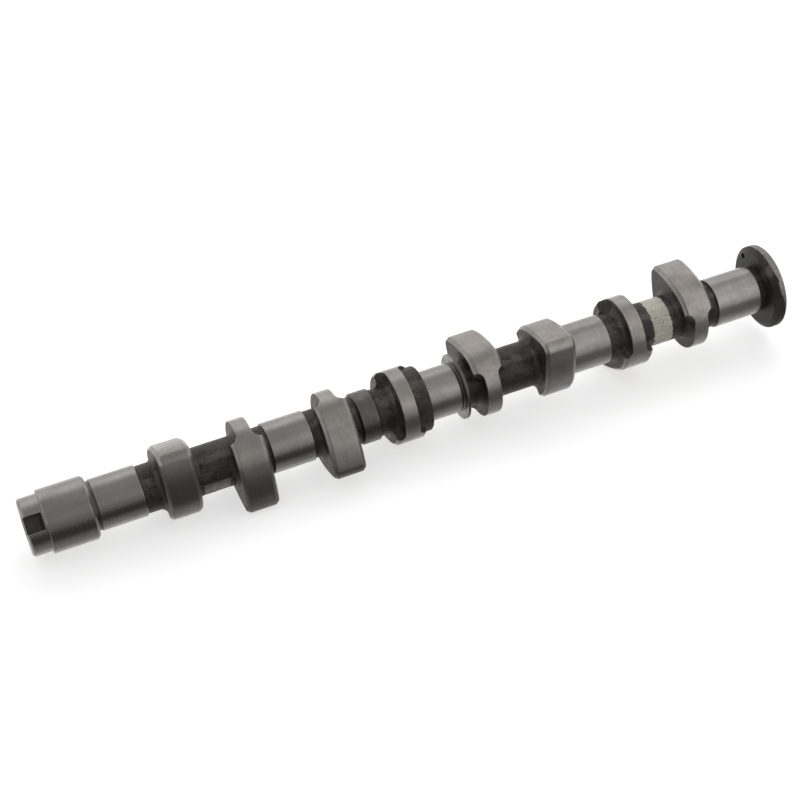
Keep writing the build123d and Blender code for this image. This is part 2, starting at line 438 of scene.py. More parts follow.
class Nodes:
    """Adds shader nodes to one tree and joins them."""

    def __init__(self, tree: bpy.types.NodeTree) -> None:
        """Starts on a tree."""
        self.tree = tree

    def add(self, kind: str, **settings: object) -> bpy.types.Node:
        """A new node with its settings."""
        node = self.tree.nodes.new(kind)
        for key, value in settings.items():
            setattr(node, key, value)
        return node

    def feed(self, socket: bpy.types.NodeSocket, value: object) -> None:
        """Joins a socket to an output, or sets its value."""
        if isinstance(value, bpy.types.NodeSocket):
            self.tree.links.new(value, socket)
        else:
            socket.default_value = value

    def spread(
        self, value: object, low: float, high: float, to_low: float = 0.0, to_high: float = 1.0
    ) -> bpy.types.NodeSocket:
        """A value mapped from low..high to to_low..to_high, held at the ends."""
        node = self.add("ShaderNodeMapRange", clamp=True)
        for socket, given in zip(node.inputs, (value, low, high, to_low, to_high)):
            self.feed(socket, given)
        return node.outputs[0]

    def maths(self, operation: str, first: object, second: object = 0.0) -> bpy.types.NodeSocket:
        """One arithmetic step on two values."""
        node = self.add("ShaderNodeMath", operation=operation)
        self.feed(node.inputs[0], first)
        self.feed(node.inputs[1], second)
        return node.outputs[0]

    def total(self, *parts: tuple[bpy.types.NodeSocket, float]) -> bpy.types.NodeSocket:
        """The sum of some values, each times its weight."""
        result, *others = [self.maths("MULTIPLY", value, weight) for value, weight in parts]
        for term in others:
            result = self.maths("ADD", result, term)
        return result

    def seen(self) -> bpy.types.NodeSocket:
        """1 for camera, glossy and transmission rays, 0 for all others."""
        ray = self.add("ShaderNodeLightPath").outputs
        bent = self.maths("MAXIMUM", ray["Is Glossy Ray"], ray["Is Transmission Ray"])
        return self.maths("MAXIMUM", ray["Is Camera Ray"], bent)


class Wiring(Nodes):
    """The nodes of one material, with the patterns that its finish is made of."""

    def __init__(self, name: str) -> None:
        """Starts a material with a Principled shader and the object's own coordinates.

        Args:
            name: the material's name.
        """
        self.material = bpy.data.materials.new(name)
        self.material.use_nodes = True
        super().__init__(self.material.node_tree)
        self.tree.nodes.clear()
        self.shader = self.add("ShaderNodeBsdfPrincipled")
        output = self.add("ShaderNodeOutputMaterial")
        self.tree.links.new(self.shader.outputs[0], output.inputs[0])
        self.place = self.add("ShaderNodeTexCoord").outputs["Object"]

    def noise(
        self, per_metre: Point, detail: float = 2.0, offset: float = 0.0
    ) -> bpy.types.NodeSocket:
        """Noise in the object's coordinates.

        Args:
            per_metre: grains a metre along each axis.
            detail: how many finer layers it has.
            offset: shift of the pattern, which keeps one noise apart from another.

        Returns:
            The noise, 0 to 1.
        """
        mapping = self.add("ShaderNodeMapping")
        self.feed(mapping.inputs["Vector"], self.place)
        mapping.inputs["Location"].default_value = (offset, offset, offset)
        mapping.inputs["Scale"].default_value = per_metre
        grain = self.add("ShaderNodeTexNoise")
        self.feed(grain.inputs["Vector"], mapping.outputs[0])
        grain.inputs["Scale"].default_value = 1.0
        grain.inputs["Detail"].default_value = detail
        return grain.outputs[0]

    def ragged(
        self, per_metre: Point, detail: float, offset: float, swing: float
    ) -> bpy.types.NodeSocket:
        """Noise about 0, by at most half the swing either way."""
        level = self.maths("SUBTRACT", self.noise(per_metre, detail, offset), 0.5)
        return self.maths("MULTIPLY", level, swing)

    def along(self, axis: str = "X") -> bpy.types.NodeSocket:
        """The object coordinate along one axis, in metres."""
        split = self.add("ShaderNodeSeparateXYZ")
        self.feed(split.inputs[0], self.place)
        return split.outputs[axis]

    def clock(self) -> bpy.types.NodeSocket:
        """The clock angle about the shaft's axis, in radians from -pi to pi."""
        return self.maths("ARCTAN2", self.along("Z"), self.along("Y"))

    def blend(self, factor: object, first: object, second: object) -> bpy.types.NodeSocket:
        """A colour between two colours."""
        node = self.add("ShaderNodeMix", data_type="RGBA")
        for number, given in zip((0, 6, 7), (factor, first, second)):
            self.feed(node.inputs[number], (*given, 1.0) if isinstance(given, tuple) else given)
        return node.outputs[2]

    def relief(self, height: object, depth: float, under: object = None) -> bpy.types.NodeSocket:
        """A bump of a height field.

        Args:
            height: the height, 0 to 1.
            depth: what a height of 1 stands for, in metres.
            under: the normal of another bump that it lies on.

        Returns:
            The bumped normal.
        """
        node = self.add("ShaderNodeBump")
        node.inputs["Strength"].default_value = 1.0
        node.inputs["Distance"].default_value = depth
        self.feed(node.inputs["Height"], height)
        if under is not None:
            self.feed(node.inputs["Normal"], under)
        return node.outputs[0]

    def dress(self, **sockets: object) -> bpy.types.Material:
        """Feeds the shader's sockets by name, with _ for a space, and returns the material."""
        for name, value in sockets.items():
            self.feed(self.shader.inputs[name.replace("_", " ")], value)
        return self.material


DISC_COLOURS: tuple[Colour, Colour] = ((0.012, 0.0108, 0.0096), (0.038, 0.0342, 0.0305))


@dataclass(frozen=True)
class GroundSteel:
    """A ground bearing or cam surface: satin, with fine lines round the shaft and smudges."""

    name: str
    colour: Colour = (0.314, 0.293, 0.284)
    roughness: float = 0.27
    lines_per_metre: float = 3200.0
    smudge: float = 0.14

    def build(self) -> bpy.types.Material:
        """The material."""
        w = Wiring(self.name)
        lines = w.noise((self.lines_per_metre, 40, 40), 3.0)
        smudges = w.noise((70, 110, 110), 4.0, 3.0)
        mottle = w.noise((420, 420, 420), 3.0, 7.0)
        shade = w.total((lines, 0.35), (smudges, 0.65), (mottle, 0.25))
        dark, light = scaled(self.colour, 1 - self.smudge), scaled(self.colour, 1 + self.smudge)
        colour = w.blend(w.spread(shade, 0.45, 0.8), dark, light)
        rough = w.spread(shade, 0.4, 0.85, self.roughness + 0.05, self.roughness - 0.05)
        fine = w.relief(lines, 0.000004)
        return w.dress(Base_Color=colour, Metallic=1.0, Roughness=rough, Normal=fine)


@dataclass(frozen=True)
class CastSkin:
    """As-cast iron under a dark coat: rough, blotched and pitted."""

    name: str
    dark: Colour = (0.018, 0.0155, 0.0135)
    light: Colour = (0.07, 0.059, 0.05)
    roughness: float = 0.46
    depth: float = 0.00012
    light_band: Colour = (0.1, 0.09, 0.077)
    light_band_clock: float = 120.0
    light_band_spread: float = 9.0

    def pattern(self, w: Wiring) -> tuple[bpy.types.NodeSocket, ...]:
        """The blotched and pitted skin, with a lighter band along the shaft at one clock angle.

        Args:
            w: the material that takes it.

        Returns:
            Its colour, roughness and normal.
        """
        blotches = w.noise((90, 130, 130), 5.0)
        grain = w.noise((900, 900, 900), 4.0, 5.0)
        pits = w.noise((520, 620, 620), 2.0, 9.0)
        holes = w.spread(pits, 0.30, 0.40)
        shade = w.total((blotches, 0.6), (grain, 0.4))
        colour = w.blend(w.spread(shade, 0.38, 0.68), self.dark, self.light)
        colour = w.blend(holes, scaled(self.dark, 0.45), colour)
        # A lighter band along the shaft, centred on one clock angle and broken up by the blotches.
        away = w.maths("ABSOLUTE", w.maths("SUBTRACT", w.clock(), math.radians(self.light_band_clock)))
        ragged = w.ragged((190, 300, 300), 5.0, 8.0, 0.9)
        spread = math.radians(self.light_band_spread)
        light_banding = w.spread(w.maths("ADD", away, ragged), spread * 0.4, spread * 1.4, 1.0, 0.0)
        light_banding = w.maths("MULTIPLY", light_banding, w.spread(shade, 0.36, 0.56, 0.3, 1.0))
        colour = w.blend(light_banding, colour, self.light_band)
        rough = w.spread(grain, 0.3, 0.7, self.roughness - 0.08, self.roughness + 0.12)
        normal = w.relief(holes, self.depth, w.relief(shade, self.depth * 1.6))
        return colour, rough, normal

    def build(self) -> bpy.types.Material:
        """The material."""
        w = Wiring(self.name)
        colour, rough, normal = self.pattern(w)
        return w.dress(Base_Color=colour, Metallic=0.35, Roughness=rough, Normal=normal)


@dataclass(frozen=True)
class BandedCastSkin:
    """The core's cast skin, with one brushed band of pale marking paint round it."""

    name: str
    skin: CastSkin
    start: float = 324.0
    end: float = 334.7
    paint: Colour = (0.585, 0.56, 0.475)

    def build(self) -> bpy.types.Material:
        """The material: paint where |x - middle| plus a ragged edge stays under half the band."""
        w = Wiring(self.name)
        colour, rough, normal = self.skin.pattern(w)
        middle, half = (self.start + self.end) / 2 * METRES, (self.end - self.start) / 2 * METRES
        away = w.maths("ABSOLUTE", w.maths("SUBTRACT", w.along(), middle))
        ragged = w.ragged((260, 420, 420), 4.0, 2.0, 0.0024)
        edge = w.spread(w.maths("ADD", away, ragged), half - 0.0002, half + 0.0002, 1.0, 0.0)
        chips = w.spread(w.noise((1250, 1500, 1500), 4.0, 4.0), 0.33, 0.43)
        mask = w.maths("MULTIPLY", edge, chips)
        brushed = w.noise((120, 700, 700), 3.0, 6.0)
        film = w.blend(w.spread(brushed, 0.3, 0.7), scaled(self.paint, 0.82), self.paint)
        return w.dress(
            Base_Color=w.blend(mask, colour, film),
            Metallic=w.spread(mask, 0.0, 1.0, 0.35, 0.0),
            Roughness=w.maths("ADD", rough, w.maths("MULTIPLY", mask, 0.08)),
            Normal=w.relief(mask, 0.00003, normal),
        )


@dataclass(frozen=True)
class WornRimAndHighlight:
    """The end disc's skin, worn bright to bare metal towards the rear, with a painted highlight that carries
    the bright metal further forward on its upper side.
    """

    name: str
    skin: CastSkin
    bright: Colour = (0.27, 0.252, 0.235)
    middle: float = 396.6
    swing: float = 3.3
    highlight_clock: float = 98.0
    ragged: float = 2.4

    def build(self) -> bpy.types.Material:
        """The material: bright where x > middle - swing * cos(clock - highlight clock) - noise; the cos term
        paints a highlight on the upper side.
        """
        w = Wiring(self.name)
        colour, rough, normal = self.skin.pattern(w)
        # Painted highlight: the bare metal reaches further forward towards the upper clock, where light
        # falls from above.
        upper = w.maths("COSINE", w.maths("SUBTRACT", w.clock(), math.radians(self.highlight_clock)))
        start = w.spread(upper, -1.0, 1.0, self.middle + self.swing, self.middle - self.swing)
        past = w.maths("SUBTRACT", w.maths("DIVIDE", w.along(), METRES), start)
        past = w.maths("ADD", past, w.ragged((260, 150, 150), 4.0, 6.0, 2 * self.ragged))
        wear_and_highlight = w.spread(past, -0.25, 0.45)
        patches = w.spread(w.noise((500, 500, 500), 4.0, 3.0), 0.35, 0.65, 0.75, 1.0)
        wear_and_highlight = w.maths("MULTIPLY", wear_and_highlight, patches)
        return w.dress(
            Base_Color=w.blend(wear_and_highlight, colour, self.bright),
            Metallic=w.spread(wear_and_highlight, 0.0, 1.0, 0.35, 1.0),
            Roughness=w.maths("SUBTRACT", rough, w.maths("MULTIPLY", wear_and_highlight, 0.1)),
            Normal=normal,
        )


@dataclass(frozen=True)
class TurnedIron:
    """Turned or milled iron: the tool's fine lines, duller than ground steel."""

    name: str
    colour: Colour
    roughness: float
    metallic: float = 1.0
    lines_per_metre: float = 1800.0
    wear: float = 0.2

    def build(self) -> bpy.types.Material:
        """The material."""
        w = Wiring(self.name)
        lines = w.noise((self.lines_per_metre, 60, 60), 2.0)
        patches = w.noise((240, 240, 240), 4.0, 3.0)
        shade = w.total((lines, 0.4), (patches, 0.6))
        dark, light = scaled(self.colour, 1 - self.wear), scaled(self.colour, 1 + self.wear)
        colour = w.blend(w.spread(shade, 0.35, 0.65), dark, light)
        rough = w.spread(shade, 0.35, 0.65, self.roughness + 0.06, self.roughness - 0.06)
        return w.dress(
            Base_Color=colour, Metallic=self.metallic, Roughness=rough, Normal=w.relief(lines, 0.000012)
        )


class Finishes:
    """Every finish of the shaft, built once."""

    def __init__(self) -> None:
        """Builds the materials."""
        skin = CastSkin("cast_skin")
        self.ground = GroundSteel("ground_journal").build()
        self.cam = GroundSteel("ground_cam", (0.325, 0.3, 0.28), 0.32, 2600.0, 0.2).build()
        self.edge = TurnedIron("ground_chamfer", (0.26, 0.248, 0.23), 0.36, wear=0.15).build()
        self.cast = skin.build()
        self.core = BandedCastSkin("core_skin", skin).build()
        self.milled = TurnedIron("milled_flat", (0.165, 0.157, 0.15), 0.45, lines_per_metre=900.0).build()
        # The key slot's finish, much darker than the milled flat: painted shade in the slot.
        self.slot = TurnedIron("milled_slot_painted_shade", (0.07, 0.066, 0.06), 0.42).build()
        # The dark collar finish, also laid in both journal relief grooves as painted shade.
        self.dark = TurnedIron("turned_collar_and_groove_shade", (0.14, 0.13, 0.12), 0.38).build()
        self.turned = TurnedIron("turned_face", (0.26, 0.25, 0.235), 0.38).build()
        self.thread = TurnedIron("bolt_thread", (0.12, 0.115, 0.11), 0.4).build()
        self.disc = CastSkin("disc_skin", *DISC_COLOURS, 0.5, 0.00008).build()
        # The rim: bare worn metal towards the rear, plus a painted highlight on its upper side.
        self.rim = WornRimAndHighlight("worn_rim_and_highlight", CastSkin("rim_skin", *DISC_COLOURS, 0.5, 0.00008)).build()


@dataclass
class Feature:
    """A feature of the shaft, with the shared sizes and the finishes that it takes."""

    plan: ShaftPlan
    finishes: Finishes


# ---------------------------------------------------------------------------
# Front end
# ---------------------------------------------------------------------------


@dataclass
class FrontEnd(Feature):
    """The sprocket seat with its key slot and bolt hole, the seal race and its relief."""

    seat_diameter: float = 29.0
    seat_length: float = 9.7
    seat_chamfer: float = 1.0
    chamfer_foot: Pairs = ((0.0, -0.1), (0.06, 0.02))
    chamfer_top: Pairs = ((-0.1, -0.12), (0.08, 0.0), (0.4, 0.0))
    slot_width: float = 8.5
    slot_length: float = 8.8
    slot_depth: float = 4.2
    slot_clock: float = 136.3
    slot_edge: float = 0.25
    slot_fan: tuple[float, float, float] = (-2.0, -0.6, 1.0)
    hole_diameter: float = 10.4
    hole_depth: float = 32.0
    hole_point: float = 3.2
    hole_fan: tuple[float, float, float] = (36.0, 41.0, 46.0)
    hole_tip: tuple[float, float] = (0.1, 0.2)
    mouth_diameter: float = 13.0
    thread_pitch: float = 1.25
    thread_depth: float = 0.8
    race_diameter: float = 32.0
    race_front_chamfer: float = 0.5
    race_rear_chamfer: float = 1.3
    relief_diameter: float = 24.8
    race_ease: float = 0.14
    floor_columns: int = 14
    round_columns: int = 178

    def columns(self, floor: float, wall: float, edge: float) -> np.ndarray:
        """Clock angles of the columns, given where those of the slot lie.

        Args:
            floor: half angle of the slot floor's columns, from the slot's middle.
            wall: angle of the columns at the top of the slot's walls.
            edge: angle where the round part starts.

        Returns:
            The angles, which begin at one side of the floor and go once round.
        """
        across = np.linspace(-floor, floor, self.floor_columns)
        round_part = np.linspace(edge, 360 - edge, self.round_columns)
        return np.concatenate([across, [wall], round_part, [360 - wall]])

    def plain_ring(self, x: float, radius: float) -> np.ndarray:
        """A whole circle on the outer surfaces."""
        half = math.degrees(math.asin(self.slot_width / self.seat_diameter))
        clocks = self.columns(*(half + step for step in self.slot_fan))
        return ring_points(np.full(1, x), np.full(1, radius), clocks + self.slot_clock)

    def hole_ring(self, x: float | np.ndarray, radius: float | np.ndarray) -> np.ndarray:
        """A whole circle in the hole, its columns fanned clear of the slot."""
        clocks = self.columns(*self.hole_fan) + self.slot_clock
        return ring_points(np.asarray(x), np.asarray(radius), clocks)

    def notched_ring(self, x: float, radius: float) -> np.ndarray:
        """The seat's cross-section with its slot.

        In the slot's own axes the floor is the line h = floor for |s| up to half the width,
        each wall runs up |s| = half the width, and a small bevel leads to the circle
        h^2 + s^2 = radius^2.

        Args:
            x: its station.
            radius: of its round part.

        Returns:
            The ring's points.
        """
        half, floor = self.slot_width / 2, self.seat_diameter / 2 - self.slot_depth
        across = np.linspace(-half, half, self.floor_columns)
        top = math.sqrt(radius**2 - half**2) - self.slot_edge
        start = math.asin((half + self.slot_edge) / radius)
        turn = np.linspace(start, 2 * math.pi - start, self.round_columns)
        s = np.concatenate([across, [half], radius * np.sin(turn), [-half]])
        h = np.concatenate([np.full_like(across, floor), [top], radius * np.cos(turn), [top]])
        radii, clocks = np.hypot(s, h), np.degrees(np.arctan2(s, h)) + self.slot_clock
        return ring_points(np.full(1, x), radii, clocks)

    def thread(self) -> np.ndarray:
        """The rings of the tapped hole, from its blind end to its mouth.

        The wall's radius is crest + depth |2 frac(x / pitch - clock / 360) - 1|, which fades
        to the crest at the blind end, and the countersink opens the mouth. A cone closes it.
        """
        crest, mouth = self.hole_diameter / 2, self.mouth_diameter / 2
        front = -self.seat_length
        bottom = front + self.hole_depth
        wall_end = bottom - self.hole_point
        x = np.arange(wall_end, front, -self.thread_pitch / 8)[:, None]
        clocks = self.columns(*self.hole_fan)[None, :]
        phase = np.mod(x / self.thread_pitch - clocks / 360.0, 1.0)
        fade = np.clip((wall_end - x) / self.thread_pitch, 0, 1)
        wave = crest + self.thread_depth * np.abs(2 * phase - 1) * fade
        radii = np.maximum(wave, mouth - (x - front))
        wall = self.hole_ring(x, radii)
        tip_gap, tip_radius = self.hole_tip
        stations = np.array([[bottom - tip_gap], [wall_end + tip_gap / 2]])
        point = self.hole_ring(stations, np.array([[tip_radius], [crest]]))
        return np.concatenate([point, wall, self.hole_ring(front, mouth)[None]])

    def build(self) -> bpy.types.Object:
        """One closed skin: out of the hole, over the seat, the race and the relief."""
        front, radius, chamfer = -self.seat_length, self.seat_diameter / 2, self.seat_chamfer
        slot_end = front + self.slot_length
        rings = list(self.thread())
        seat, kinds = len(rings), [3] * (len(rings) - 1)
        notched = [(front + a, radius - chamfer + b) for a, b in self.chamfer_foot]
        notched += [(front + chamfer + a, radius + b) for a, b in self.chamfer_top]
        rings += [self.notched_ring(x, r) for x, r in [*notched, (slot_end, radius)]]
        kinds += [2, 2, 2, 2, 0, 0]
        race, relief = self.race_diameter / 2, self.relief_diameter / 2
        length = self.plan.race_length
        end = length + self.plan.race_relief_length + OVERLAP
        front_edge, rear_edge = self.race_front_chamfer, self.race_rear_chamfer
        outline, finish = eased_outline(
            [
                (slot_end, radius), (0.0, radius), (0.0, race - front_edge), (front_edge, race),
                (length - rear_edge, race), (length, race - rear_edge), (length, relief), (end, relief),
            ],
            # The relief groove's span takes the dark collar finish (4): painted shade in the groove.
            [0, 2, 2, 0, 2, 2, 4],
            self.race_ease,
        )
        rings += [self.plain_ring(x, r) for x, r in outline]
        kinds += [1, *finish]
        slots = np.repeat(np.array(kinds)[:, None], len(rings[0]), axis=1)
        # The slot's floor and walls take the dark slot finish: painted shade in the recess.
        slots[seat + 1 : seat + 5, [*range(self.floor_columns), -1]] = 1
        skin = Skin(np.array(rings), slots, front + self.hole_depth, end)
        made = self.finishes
        return skin.build("front_end", [made.ground, made.slot, made.turned, made.thread, made.dark])


# ---------------------------------------------------------------------------
# Lobes
# ---------------------------------------------------------------------------


@dataclass
class Lobe(Feature):
    """One cam lobe, full width over its nose and flanks and relieved over its base circle."""

    cylinder: int
    valve: Valve
    lift: float
    base_diameter: float = 38.0
    nose_radius: float = 5.5
    flank_angle: float = 62.0
    relieved_width: float = 7.7
    relief_angle: float = 105.0
    chamfer_length: float = 1.8
    chamfer_depth: float = 1.3
    edge_break: float = 0.16
    edge_ease: float = 0.14
    core_sink: float = 0.05
    foot_sink: float = 0.6
    foot_reach: float = 0.2
    nose_crowding: float = 0.45
    bare_hollow: float = 1.0
    nose_columns: int = 96
    hollow_columns: int = 14
    back_columns: int = 36
    fillet_rows: int = 9
    side_rows: int = 5

    def rim(self, angle: np.ndarray) -> tuple[np.ndarray, np.ndarray]:
        """The cam profile and its outward normal at each angle from the nose, in radians.

        Three arcs meet at common tangents: the base circle, a flank circle that touches it at
        the flank angle, and the nose circle. On an arc of radius R and centre C the profile is
        r = C.u + sqrt((C.u)^2 - C.C + R^2), with u the unit vector at the angle.

        Args:
            angle: angles from the nose, 0 to pi.

        Returns:
            The points (along the nose, across it) and the unit normals.
        """
        base, nose = self.base_diameter / 2, self.nose_radius
        reach, turn = base + self.lift - nose, math.radians(self.flank_angle)
        flank = (base**2 - nose**2 + reach**2 - 2 * base * reach * math.cos(turn)) / (
            2 * (base - nose - reach * math.cos(turn))
        )
        flank_centre = units(turn) * (base - flank)
        nose_centre = np.array([reach, 0.0])
        toward = (nose_centre - flank_centre) / np.linalg.norm(nose_centre - flank_centre)
        meet = flank_centre + toward * flank
        meet_angle = math.atan2(meet[1], meet[0])
        arcs = [angle < meet_angle, angle < turn]
        centre = np.select([arc[:, None] for arc in arcs], [nose_centre, flank_centre], 0.0)
        radius = np.select(arcs, [nose, flank], base)
        unit = units(angle)
        lean = (centre * unit).sum(-1)
        r = lean + np.sqrt(lean**2 - (centre**2).sum(-1) + radius**2)
        point = unit * r[:, None]
        return point, (point - centre) / radius[:, None]

    def half_grid(self) -> tuple[np.ndarray, np.ndarray, np.ndarray]:
        """The lobe's side over half a turn, from the nose round to the back.

        Columns first divide the full width from the nose to the relief's shoulder, then the
        hollow, at h = foot + hollow cos a with half width full - hollow sin a, then the
        relieved back. Each column keeps to the shoulder's line h = constant, so that its edge
        stays crisp. Rows climb the root fillet, r = core + R (1 - cos p) and x = R (1 - sin p)
        beyond the side, cross the side, turn over the chamfer and end on the rim.

        Returns:
            Points across the shaft (rows, columns, 2), x from the lobe's middle
            (rows, columns), and the half width of each column.
        """
        full, slim = self.plan.lobe_width / 2, self.relieved_width / 2
        base, hollow = self.base_diameter / 2, full - slim
        shoulder = base * math.cos(math.radians(self.relief_angle))
        foot = shoulder - hollow
        spread = np.linspace(0, 1, self.nose_columns)
        share = (1 - self.nose_crowding) * spread + self.nose_crowding * spread**2
        bend = np.linspace(0, math.pi / 2, self.hollow_columns)
        heights = foot + hollow * np.cos(bend)
        back = np.linspace(0, 1, self.back_columns + 1)[1:]
        width = np.concatenate([
            np.full(self.nose_columns, full), full - hollow * np.sin(bend), np.full(self.back_columns, slim),
        ])

        def angles(radius: np.ndarray, rim_angle: np.ndarray) -> np.ndarray:
            """The angle at which every column crosses a radius.

            Args:
                radius: distance from the axis, one number a column.
                rim_angle: the columns' angles where only their share of the turn counts.

            Returns:
                The angles from the nose.
            """
            inner = np.minimum(radius, base)
            nose_part = rim_angle[: self.nose_columns] / math.radians(self.relief_angle)
            first = nose_part * np.arccos(shoulder / inner[: self.nose_columns])
            mid = slice(self.nose_columns, self.nose_columns + self.hollow_columns)
            second = np.arccos(heights / inner[mid])
            start = np.arccos(foot / inner[mid.stop :])
            return np.concatenate([first, second, start + back * (math.pi - start)])

        rim_angle = np.concatenate([
            share * math.radians(self.relief_angle), np.arccos(heights / base),
            math.acos(foot / base) + back * (math.pi - math.acos(foot / base)),
        ])
        rim, normal = self.rim(rim_angle)

        core, root = self.plan.core_diameter / 2 - self.core_sink, self.plan.root_radius
        rows: list[tuple[np.ndarray, np.ndarray]] = []

        def inner_row(radius: float, beyond: float) -> None:
            """Adds a row of the root fillet, so far beyond the side's full width."""
            radii = np.full_like(width, radius)
            x = np.maximum(width, slim + beyond)
            x[: self.nose_columns] = full + beyond
            rows.append((units(angles(radii, rim_angle)) * radii[:, None], x))

        inner_row(core - self.foot_sink, root + self.foot_reach)
        for p in np.linspace(0, math.pi / 2, self.fillet_rows):
            inner_row(core + root * (1 - math.cos(p)), root * (1 - math.sin(p)))

        chamfer = np.clip(width - (full - self.chamfer_length), self.edge_break, self.chamfer_length)
        depth = np.maximum(chamfer * self.chamfer_depth / self.chamfer_length, self.edge_break)
        slope = np.hypot(chamfer, depth)
        ease = np.minimum(self.edge_ease, slope * 0.3)
        bulge = 0.3 * ease
        along, down = chamfer / slope, depth / slope

        def rim_row(inward: np.ndarray, x: np.ndarray) -> tuple[np.ndarray, np.ndarray]:
            """A row that follows the rim, so far inward from it."""
            point = rim - normal * inward[:, None]
            radii = np.hypot(point[:, 0], point[:, 1])
            turn = angles(radii, np.arctan2(point[:, 1], point[:, 0]))
            return units(turn) * radii[:, None], x

        outer = [
            rim_row(depth + ease + SUPPORT_GAP, width),
            rim_row(depth + ease, width),
            rim_row(depth + bulge * (1 - down), width - bulge * along),
            rim_row(depth - ease * down, width - ease * along),
            rim_row(ease * down, width - chamfer + ease * along),
            rim_row(bulge * down, width - chamfer - bulge * (1 - along)),
            rim_row(np.zeros_like(width), width - chamfer - ease),
            rim_row(np.zeros_like(width), width - chamfer - ease - SUPPORT_GAP),
        ]
        toe, top = rows[-1][0], outer[0][0]
        for step in np.linspace(0, 1, self.side_rows + 2)[1:-1]:
            rows.append((toe + (top - toe) * step, width.copy()))
        rows += outer
        across = np.array([points for points, _ in rows])
        x = np.array([offset for _, offset in rows])
        return across, x, width

    def build(self) -> bpy.types.Object:
        """The whole lobe: the half side mirrored across the nose and along the shaft."""
        across, x, width = self.half_grid()
        across = np.concatenate([across, across[:, -2:0:-1] * (1, -1)], axis=1)
        x = np.concatenate([x, x[:, -2:0:-1]], axis=1)
        width = np.concatenate([width, width[-2:0:-1]])
        clock = math.radians(self.plan.lobe_clock(self.cylinder, self.valve))
        centre = self.plan.lobe_centre(self.cylinder, self.valve)
        turned = across @ np.stack([units(clock), units(clock + math.pi / 2)])
        front = np.concatenate([(centre - x)[..., None], turned], axis=-1)
        rear = np.concatenate([(centre + x)[..., None], turned], axis=-1)[::-1]
        face = np.linspace(0, 1, 5)[1:-1, None, None] * (rear[0] - front[-1]) + front[-1]
        rings = np.concatenate([front, face, rear])

        side = np.repeat([0, 2, 1], [len(front) - 7, 4, 2])
        strip = np.concatenate([side, np.ones(4, int), side[::-1]])
        slots = np.repeat(strip[:, None], rings.shape[1], axis=1)
        slots[np.ix_(strip == 2, width < self.plan.lobe_width / 2 - self.bare_hollow)] = 1
        skin = Skin(rings, slots, centre - x[0].min(), centre + x[0].min())
        made = self.finishes
        name = f"{self.valve.value}_lobe_{self.cylinder}"
        piece = skin.build(name, [made.cast, made.cam, made.edge, made.milled])
        if self.cylinder == 1:
            CoreFlat(self.plan).cut(piece, 3)
        return piece


# ---------------------------------------------------------------------------
# Core, journals, collar and thrust bearing
# ---------------------------------------------------------------------------


@dataclass(frozen=True)
class CoreFlat:
    """The flat milled along the core between the first two lobes."""

    plan: ShaftPlan
    clock: float = 201.0
    depth: float = 0.95
    end_gap: float = 1.4

    def cut(self, piece: bpy.types.Object, finish: int) -> None:
        """Mills the flat out of a piece: everything beyond a height along its clock angle.

        Args:
            piece: the core, or a lobe whose root fillet reaches into the cut.
            finish: number of the piece's finish that the flat takes.
        """
        turn = math.radians(self.clock)
        axes = np.stack([units(turn), units(turn + math.pi / 2)])
        height, far = self.plan.core_diameter / 2 - self.depth, self.plan.core_diameter
        wide = 0.6 * far
        corners = np.array([(height, -wide), (far, -wide), (far, wide), (height, wide)])
        span = (
            self.plan.lobe_side(1, Valve.INTAKE, End.REAR) + self.end_gap,
            self.plan.lobe_side(1, Valve.EXHAUST, End.FRONT) - self.end_gap,
        )
        carve(piece, prism(corners @ axes, span), finish)


@dataclass
class Core(Feature):
    """The as-cast core, slightly uneven, with its milled flat."""

    swell: float = 0.045
    front_reach: float = 0.6
    row_step: float = 0.9
    columns: int = 112

    def build(self) -> bpy.types.Object:
        """The core from the front relief to the end disc: radius core + swell * unevenness."""
        first = self.plan.race_length + self.plan.race_relief_length - self.front_reach
        last = self.plan.disc_start() + OVERLAP
        x = np.append(np.arange(first, last, self.row_step), last)[:, None]
        clocks = clock_turns(self.columns)[None, :]
        radius = self.plan.core_diameter / 2 + self.swell * unevenness(x, clocks, SEED)
        skin = Skin(ring_points(x, radius, clocks), np.zeros(len(x) - 1, int), first, last)
        piece = skin.build("core", [self.finishes.core, self.finishes.milled])
        CoreFlat(self.plan).cut(piece, 1)
        return piece


@dataclass
class Journals(Feature):
    """The bearing journals that are plain ground bands: all but the middle one."""

    names: tuple[tuple[int, str], ...] = ((1, "front"), (2, "second"), (4, "fourth"), (5, "rear"))
    side_depth: float = 1.2

    def build(self) -> list[bpy.types.Object]:
        """The journals, from front to rear."""
        made = [self.finishes.ground, self.finishes.turned]
        radius, chamfer = self.plan.journal_diameter / 2, self.plan.journal_chamfer
        return [
            turned_skin(
                chamfered_band(*self.plan.journal_span(number), radius, chamfer, self.side_depth),
                [1, 1, 0, 1, 1],
            ).build(f"{name}_journal", made)
            for number, name in self.names
        ]


@dataclass
class Collar(Feature):
    """The turned collar between the second cylinder's lobes."""

    diameter: float = 26.8
    length: float = 10.2
    chamfer: float = 0.7
    gap: float = 4.1
    side_depth: float = 2.0

    def build(self) -> bpy.types.Object:
        """The collar."""
        start = self.plan.lobe_side(2, Valve.INTAKE, End.REAR) + self.gap
        corners = chamfered_band(
            start, start + self.length, self.diameter / 2, self.chamfer, self.side_depth
        )
        return turned_skin(corners, [0] * 5).build("collar", [self.finishes.dark])


